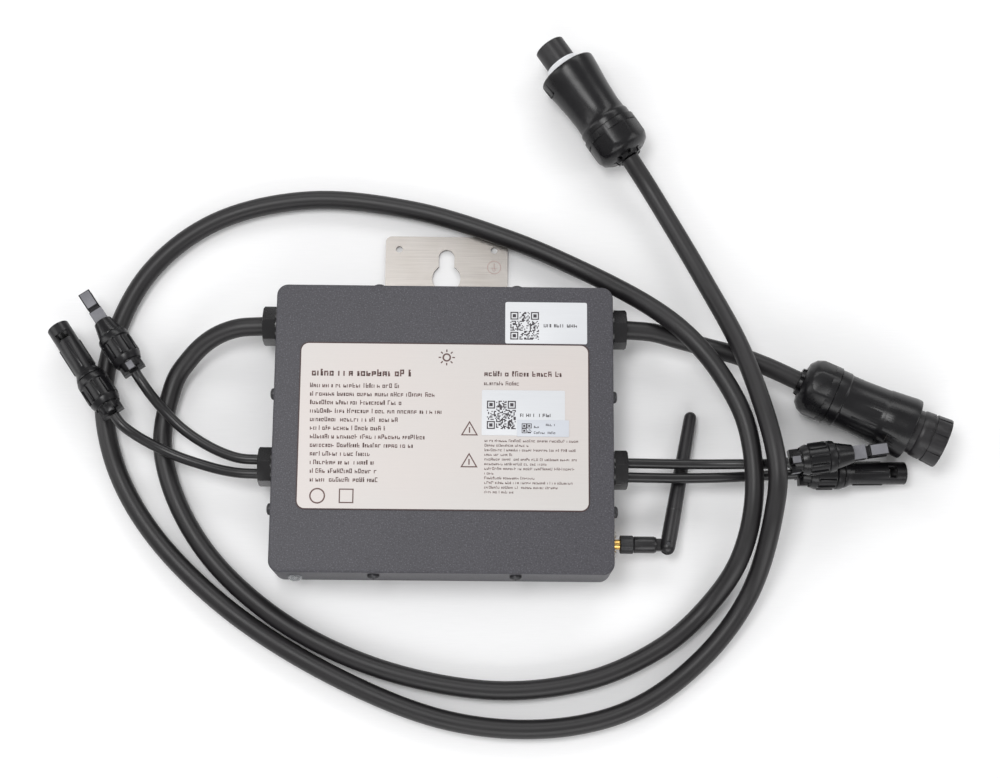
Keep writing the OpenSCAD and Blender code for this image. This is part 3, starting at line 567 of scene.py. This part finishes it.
for name, s in stickers.items():
    (x0, y0), (x1, y1) = s["box"]
    bm = roundSlab((x1 - x0, y1 - y0), s["corner"], *s["z"], ((x0 + x1) / 2, (y0 + y1) / 2), stickerEdge)
    obj = addPiece(name, bm, [s["mat"]], "root")
    if name == "serialSticker":
        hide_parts("data_stickers")

dice = random.Random(7)
glyph = {                             # chances, and shares of a shape's height or a letter's width
    "stemOnly": 0.12, "twoStems": 0.8, "fullStem": 0.7, "stemFoot": 0.4, "stemTops": (0.66, 1.0),
    "barLevels": (0.0, 0.42, 1.0), "barCounts": (1, 2, 2), "barShort": 0.2,
    "heights": (0.72, 0.72, 0.72, 1.0), "widths": (0.55, 0.95, 1.0), "fill": 0.8, "gap": 0.2,
    "space": 0.6, "firstWord": (3, 9), "word": (2, 9),
}


# one shape of one to four strokes, too small to read and not a real letter
def strokes(bm, x, y, z, wide, high, line):
    g = glyph
    top = z + print3d["height"]
    box(bm, (x, y, z), (x + line, y + high, top))
    kind = dice.random()
    if kind < g["stemOnly"]:
        return
    low = 0.0 if dice.random() < g["fullStem"] else high * g["stemFoot"]
    if kind < g["twoStems"]:
        box(bm, (x + wide - line, y + low, z), (x + wide, y + high * dice.choice(g["stemTops"]), top))
    for level in dice.sample(g["barLevels"], dice.choice(g["barCounts"])):
        middle = y + line / 2 + level * (high - line)
        box(bm, (x + line, middle - line / 2, z),
            (x + wide - line * g["barShort"], middle + line / 2, top))


# a row of words made of such shapes, standing for print too small to read
def wordRow(page, x0, x1, y, z, letter, tall, line=0.2):
    g = glyph
    bm = bmesh.new()
    x, wordLeft = x0, dice.randint(*g["firstWord"])
    while x < x1 - letter * g["space"]:
        if wordLeft == 0:
            wordLeft = dice.randint(*g["word"])
            x += letter * g["space"]
            continue
        high = tall * dice.choice(g["heights"])
        wide = letter * g["fill"] * dice.choice(g["widths"])
        strokes(bm, x, y - tall / 2, z, wide, high, letter * line)
        x += wide + letter * g["gap"]
        wordLeft -= 1
    joinTo(page, bm)


# a flat band round a polygon or a circle
def ringMark(bm, centre, z, radius, width, sides=40, turn=0.0):
    spot = Matrix.Translation((centre[0] * mm, centre[1] * mm, z * mm)) @ Matrix.Rotation(turn, 4, "Z")
    inner = radius - width / math.cos(math.pi / sides)
    loops = [bmesh.ops.create_circle(bm, segments=sides, radius=r * mm, matrix=spot)["verts"]
             for r in (radius, inner)]
    edges = list({e for loop in loops for v in loop for e in v.link_edges})
    band = bmesh.ops.bridge_loops(bm, edges=edges)["faces"]
    out = bmesh.ops.extrude_face_region(bm, geom=band)
    lifted = [g for g in out["geom"] if isinstance(g, bmesh.types.BMVert)]
    bmesh.ops.translate(bm, vec=(0, 0, print3d["height"] * mm), verts=lifted)


dotStyle = {                          # chance of a dot, its share of a cell, corner frames in cells
    "chance": 0.47, "fill": 0.98, "frame": 7, "quiet": 8,
    "frameBars": (((0, 0), (7, 1)), ((0, 6), (7, 7)), ((0, 1), (1, 6)), ((6, 1), (7, 6)), ((2, 2), (5, 5))),
}


# random squares on a grid, with three framed corners
def dotCode(page, low, size, z, cells):
    cell = size / cells
    h = print3d["height"]
    near, far = dotStyle["quiet"], cells - dotStyle["quiet"]
    dot = cell * dotStyle["fill"]
    for i in range(cells):
        bm = bmesh.new()
        for j in range(cells):
            corner = (i < near and (j < near or j >= far)) or (i >= far and j >= far)
            if not corner and dice.random() < dotStyle["chance"]:
                x, y = low[0] + i * cell, low[1] + j * cell
                box(bm, (x, y, z), (x + dot, y + dot, z + h))
        joinTo(page, bm)
    bm = bmesh.new()
    last = cells - dotStyle["frame"]
    for i, j in ((0, 0), (0, last), (last, last)):
        x, y = low[0] + i * cell, low[1] + j * cell
        for a, b in dotStyle["frameBars"]:
            box(bm, (x + a[0] * cell, y + a[1] * cell, z), (x + b[0] * cell, y + b[1] * cell, z + h))
    joinTo(page, bm)


bm = bmesh.new()
z = plate["top"]
p = print3d
for key in ("heading", "typeRow", "numberRow"):
    row = p[key]
    wordRow(bm, *row["x"], row["y"], z, row["letter"], row["tall"], row["line"])
for i, end in enumerate(p["rowEnds"]):
    start = p["rowStart"] + p["rowDrift"] * i
    wordRow(bm, start, end, p["rowTop"] - p["rowPitch"] * i, z, p["rowLetter"], p["rowTall"], p["rowLine"])
for i, end in enumerate(p["tinyEnds"]):
    wordRow(bm, p["tinyStart"], end, p["tinyTop"] - p["tinyPitch"] * i, z, p["tinyLetter"], p["tinyTall"])
half, low, high = p["triangleBar"]
for x, y in p["triangles"]:
    ringMark(bm, (x, y), z, p["triangleSize"], p["triangleLine"], 3)
    box(bm, (x - half, y + low, z), (x + half, y + high, z + p["height"]))
ringMark(bm, p["ring"][:2], z, p["ring"][2], p["ringLine"])
ringMark(bm, p["tile"][:2], z, p["tile"][2], p["tileLine"], 4, math.pi / 4)
x, y, radius = p["sun"]
ringMark(bm, (x, y), z, radius, p["sunLine"])
near, far, half = p["ray"]
for i in range(p["rays"]):
    made = box(bm, (radius + near, -half, z), (radius + far, half, z + p["height"]))
    turn = Matrix.Rotation(i * 2 * math.pi / p["rays"], 3, "Z")
    bmesh.ops.rotate(bm, cent=(0, 0, 0), matrix=turn, verts=made)
    bmesh.ops.translate(bm, vec=(x * mm, y * mm, 0), verts=made)
addPiece("platePrint", bm, [ink], "root")

bm = bmesh.new()
for s in stickers.values():
    low, size, cells = s["code"]
    dotCode(bm, low, size, s["z"][1], cells)
    for start, end, middle, letter, tall in s["rows"]:
        wordRow(bm, start, end, middle, s["z"][1], letter, tall)
addPiece("stickerPrint", bm, [inkBlack], "root")

earthMark = {
    "centre": (31.2, 114.5), "radius": 4.6, "line": 0.5, "top": 2.5,
    "stem": (-0.6, 2.6), "bars": (2.0, 1.3, 0.6), "barTop": -0.6, "barTall": 0.4, "barPitch": 1.0,
}
bm = bmesh.new()
m = earthMark
x, y = m["centre"]
z, top = m["top"], m["top"] + print3d["height"]
ringMark(bm, (x, y), z, m["radius"], m["line"])
box(bm, (x - m["line"] / 2, y + m["stem"][0], z), (x + m["line"] / 2, y + m["stem"][1], top))
for i, half in enumerate(m["bars"]):
    barTop = y + m["barTop"] - i * m["barPitch"]
    box(bm, (x - half, barTop - m["barTall"], z), (x + half, barTop, top))
addPiece("earthMark", bm, [inkRed], "root")
print("labels done")


# antenna

antenna = {                           # node, material, slot, softened edge in mm, body
    "antennaJack": ("antenna_jack", gold, "gold_plate", 0.12, "root"),
    "jackScrews": ("jack_screws", screwPlain, "black_screws", 0.1, "root"),
    "antennaNut": ("antenna_nut", nutBlack, "nut_metal", 0.12, "antenna_nut"),
    "antennaBarrel": ("antenna_barrel", aerialPlastic, "antenna_plastic", 0.2, "antenna_base"),
    "tiltPin": ("tilt_pin", screwBlack, "plain_screws", 0.1, "antenna_base"),
    "antennaWhip": ("antenna_whip", aerialPlastic, "antenna_plastic", 0.25, "antenna_whip"),
}
for name, (node, mat, slotName, edge, body) in antenna.items():
    softCopy(node, name, mat, edge, body=body)
whipCollar = {
    "hinge": (141.6, -68.8, 13), "stored": 79, "droop": 5, "at": 23, "radius": 4.95, "width": 1.4,
    "edge": 0.2,
}
w = whipCollar
lie = (Matrix.Translation(Vector(w["hinge"]) * mm) @ Matrix.Rotation(math.radians(-w["droop"]), 4, "X")
       @ Matrix.Rotation(math.radians(w["stored"]), 4, "Z") @ Matrix.Rotation(math.pi / 2, 4, "Y"))
bm = bmesh.new()
bmesh.ops.create_cone(
    bm, cap_ends=True, segments=40, radius1=w["radius"] * mm, radius2=w["radius"] * mm,
    depth=w["width"] * mm, matrix=lie @ Matrix.Translation((0, 0, w["at"] * mm)))
rims = [e for e in bm.edges if e.calc_face_angle(0) > 1]
bmesh.ops.bevel(bm, geom=rims, offset=w["edge"] * mm, segments=2, affect="EDGES",
                profile=0.5, material=-1)
addPiece("whipCollar", bm, [aerialPlastic], "antenna_whip")
print("antenna done")


# connectors

connectorCopies = {                   # node, material, slot, softened edge in mm and its segments
    "acPlugNut": ("ac_plug_nut", plasticBlack, "connector_plastic", 0.5, 3),
    "acPlugSpigot": ("ac_plug_spigot", plasticSatin, "socket_insert", 0.5, 3),
    "acSocketShell": ("ac_socket_shell", plasticBlack, "connector_plastic", 0.5, 3),
    "acSocketNut": ("ac_socket_nut", plasticBlack, "connector_plastic", 0.5, 3),
    "acSocketInsert": ("ac_socket_insert", plasticSatin, "socket_insert", 0.5, 3),
    "dcPlugLeft": ("dc_plug_left", plasticBlack, "connector_plastic", 0.3, 2),
    "dcSocketLeft": ("dc_socket_left", plasticBlack, "connector_plastic", 0.3, 2),
    "dcPlugRight": ("dc_plug_right", plasticBlack, "connector_plastic", 0.3, 2),
    "dcSocketRight": ("dc_socket_right", plasticBlack, "connector_plastic", 0.3, 2),
}
for name, (node, mat, slotName, edge, segments) in connectorCopies.items():
    softCopy(node, name, mat, edge, segments)
connectorSpots = {                    # place in mm, heading and dip in degrees
    "dcPlugLeft": ((-195, 36, 24.5), 124.5, 4), "dcPlugRight": ((214.6, -19.6, 36.5), 8.7, 3),
    "dcSocketLeft": ((-207, 8.5, 24.3), 124.7, 5), "dcSocketRight": ((223, -23.5, 17.2), 2.3, 7.5),
    "acSocket": ((225.6, 36.3, 20), -23.8, 0), "acPlug": ((119.2, 184.9, 20), 124.2, 0),
}
spots = {name: aim(*where) for name, where in connectorSpots.items()}

# the plug's front rim stands back so its seal ring shows
plugFront = {"from": 58, "shell": 0.86, "ring": 1.06, "shellEdge": 0.5, "ringEdge": 0.15}


def stretchedCopy(node, name, material, factor, edge):
    bm = weldedCopy(node)
    spot = spots["acPlug"]
    back = spot.inverted()
    start = plugFront["from"] * mm
    for v in bm.verts:
        local = back @ v.co
        if local.z > start:
            local.z = start + (local.z - start) * factor
            v.co = spot @ local
    bevelEdges(addPiece(name, bm, [material], "root", [node]), edge, 3)


stretchedCopy("ac_plug_shell", "acPlugShell", plasticBlack,
              plugFront["shell"], plugFront["shellEdge"])
stretchedCopy("ac_plug_ring", "acPlugRing", sealWhite,
              plugFront["ring"], plugFront["ringEdge"])

# on the plugs the collet's claw faces are a painted reflection in grey; on the sockets they are black
collet = {"from": 1.4, "to": 6.6, "half": 2.1, "radius": 7.4, "proud": 0.12, "sunk": 0.3, "soft": 0.1}
dcNut = {                             # radius and distance of each corner, then the grip bars
    "outline": ((7.95, 8), (8.35, 8), (9.7, 11.4), (9.7, 12.0), (9.2, 12.6), (9.2, 24.4), (10.05, 25.2),
                (10.05, 27.6), (9.6, 29.2), (9.2, 29.5), (7.95, 29.5)),
    "ribs": 10, "from": 13.0, "to": 24.0, "half": 0.85, "inside": 8.9, "outside": 10.3, "soft": 0.5,
}
socketRidge = {"from": 36.5, "to": 56, "half": 0.85, "inside": 6.9, "outside": 7.7, "soft": 0.3}
latchArm = {                          # start, end, half width and radius of each grey face, a painted reflection on the black latch
    "block": (40.4, 49.2, 4.3, 3.6), "pad": (52.3, 63.0, 3.2, 4.4), "proud": 0.15, "sunk": 0.3, "soft": 0.14,
}


# faces on the collet's claws, and a plug's grey latch pads or a socket's lengthwise ridges; on a plug these
# faces are grey as a painted reflection of the light on black plastic
def greyFaces(name, spot, isPlug):
    bm = bmesh.new()
    c = collet
    for k in range(4):
        turned = spot @ Matrix.Rotation(k * math.pi / 2, 4, "Z")
        softBlock(bm, turned, (-c["radius"] - c["proud"], -c["half"], c["from"]),
                  (-c["radius"] + c["sunk"], c["half"], c["to"]), c["soft"])
    if isPlug:
        for k in range(2):
            turned = spot @ Matrix.Rotation(k * math.pi, 4, "Z")
            for start, stop, half, radius in (latchArm["block"], latchArm["pad"]):
                softBlock(bm, turned, (-radius - latchArm["proud"], -half, start),
                          (-radius + latchArm["sunk"], half, stop), latchArm["soft"])
    else:
        r = socketRidge
        for k in range(4):
            turned = spot @ Matrix.Rotation(k * math.pi / 2, 4, "Z")
            softBlock(bm, turned, (-r["outside"], -r["half"], r["from"]),
                      (-r["inside"], r["half"], r["to"]), r["soft"])
    addPiece(name, bm, [paintedReflectionGrey if isPlug else plasticBlack], "root")


# the cap nut: a turned body with rounded grip bars
def capNut(name, node, spot):
    n = dcNut
    bm = bmesh.new()
    verts = [bm.verts.new((r * mm, 0, z * mm)) for r, z in n["outline"]]
    edges = [bm.edges.new(pair) for pair in zip(verts, verts[1:] + verts[:1])]
    bmesh.ops.spin(bm, geom=verts + edges, cent=(0, 0, 0), axis=(0, 0, 1), angle=2 * math.pi, steps=48,
                   use_merge=True)
    bmesh.ops.recalc_face_normals(bm, faces=bm.faces)
    bmesh.ops.transform(bm, matrix=spot, verts=bm.verts)
    for k in range(n["ribs"]):
        turned = spot @ Matrix.Rotation(k * 2 * math.pi / n["ribs"], 4, "Z")
        softBlock(bm, turned, (-n["outside"], -n["half"], n["from"]),
                  (-n["inside"], n["half"], n["to"]), n["soft"])
    addPiece(name, bm, [plasticBlack], "root", [node])


for side in ("Left", "Right"):
    for kind in ("Plug", "Socket"):
        spot = spots["dc" + kind + side]
        capNut("dc" + kind + "Nut" + side, "dc_" + kind.lower() + "_" + side.lower() + "_nut", spot)
        greyFaces("dc" + kind + "Faces" + side, spot, kind == "Plug")

# the AC shells' moulded ribs and the latch beside the front rim, at angles from the top
shellRibs = {
    "from": 38, "to": 54, "half": 0.45, "inside": 16.8, "outside": 17.8, "soft": 0.3, "angles": (41, 66),
}
latch = {
    "socketAngle": 52, "plugAngle": -82, "from": 62.5, "to": 71.5, "half": 3.4, "inside": 18.2,
    "outside": 19.6, "rim": 1.1, "deep": 1.1, "soft": 0.25,
}


def shellDetails(name, spot, latchAngle, ribWays):
    bm = bmesh.new()
    r = shellRibs
    for angle in r["angles"]:
        for way in ribWays:
            turned = spot @ Matrix.Rotation(math.radians(angle * way), 4, "Z")
            softBlock(bm, turned, (-r["outside"], -r["half"], r["from"]),
                      (-r["inside"], r["half"], r["to"]), r["soft"])
    part = bmesh.new()
    box(part, (-latch["outside"], -latch["half"], latch["from"]),
        (-latch["inside"], latch["half"], latch["to"]))
    part.faces.ensure_lookup_table()
    outer = min(part.faces, key=lambda f: f.calc_center_median().x)
    bmesh.ops.inset_region(part, faces=[outer], thickness=latch["rim"] * mm)
    bmesh.ops.translate(part, vec=(latch["deep"] * mm, 0, 0), verts=outer.verts)
    edges = [e for e in part.edges if e.calc_face_angle(0) > 0.5]
    bmesh.ops.bevel(part, geom=edges, offset=latch["soft"] * mm, segments=2, affect="EDGES",
                    profile=0.5, material=-1)
    turn = Matrix.Rotation(math.radians(latchAngle), 4, "Z")
    bmesh.ops.transform(part, matrix=spot @ turn, verts=part.verts)
    joinTo(bm, part)
    addPiece(name, bm, [plasticBlack], "root")


shellDetails("acSocketDetails", spots["acSocket"], latch["socketAngle"], (1,))
shellDetails("acPlugDetails", spots["acPlug"], latch["plugAngle"], ())
print("connectors done")


# solids of the frame that stay

kept = {
    "cover_gasket": rubberBlack, "bracket_screws": screwPlain, "gland_seals": rubberBlack,
    "gland_lock_nuts": glandPlastic, "cable_tails": jacket, "circuit_board": boardGreen,
    "board_screws": screwPlain, "transformers": ferrite, "input_capacitors": canBlue,
    "film_capacitors": filmYellow, "output_choke": woundCopper, "grid_relays": plasticSatin,
    "power_transistors": plasticSatin, "clamp_bar": aluBar, "thermal_pads": padBlue,
    "control_chips": plasticSatin, "cable_terminals": boardGreen, "wifi_module": aluBar,
    "antenna_pigtail": jacket, "antenna_element": gold, "ac_contacts": gold, "dc_contacts": gold,
}
for node, mat in kept.items():
    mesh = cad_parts[node].data
    mesh.materials.clear()
    mesh.materials.append(mat)


# the cords' lengths, worked out and not kept, and the table

for name, c in cords.items():
    splineLength(c)

floorMesh = bpy.data.meshes.new("table")
bm = bmesh.new()
bmesh.ops.create_grid(bm, x_segments=1, y_segments=1, size=studio["floorSize"] / 2)
bm.to_mesh(floorMesh)
bm.free()
floor = bpy.data.objects.new("table", floorMesh)
bpy.context.scene.collection.objects.link(floor)
floorMat = foil("tablePaper", studio["floorColour"], studio["floorColour"], 0.9, 0.0)
floorMesh.materials.append(floorMat)

print("scene done")
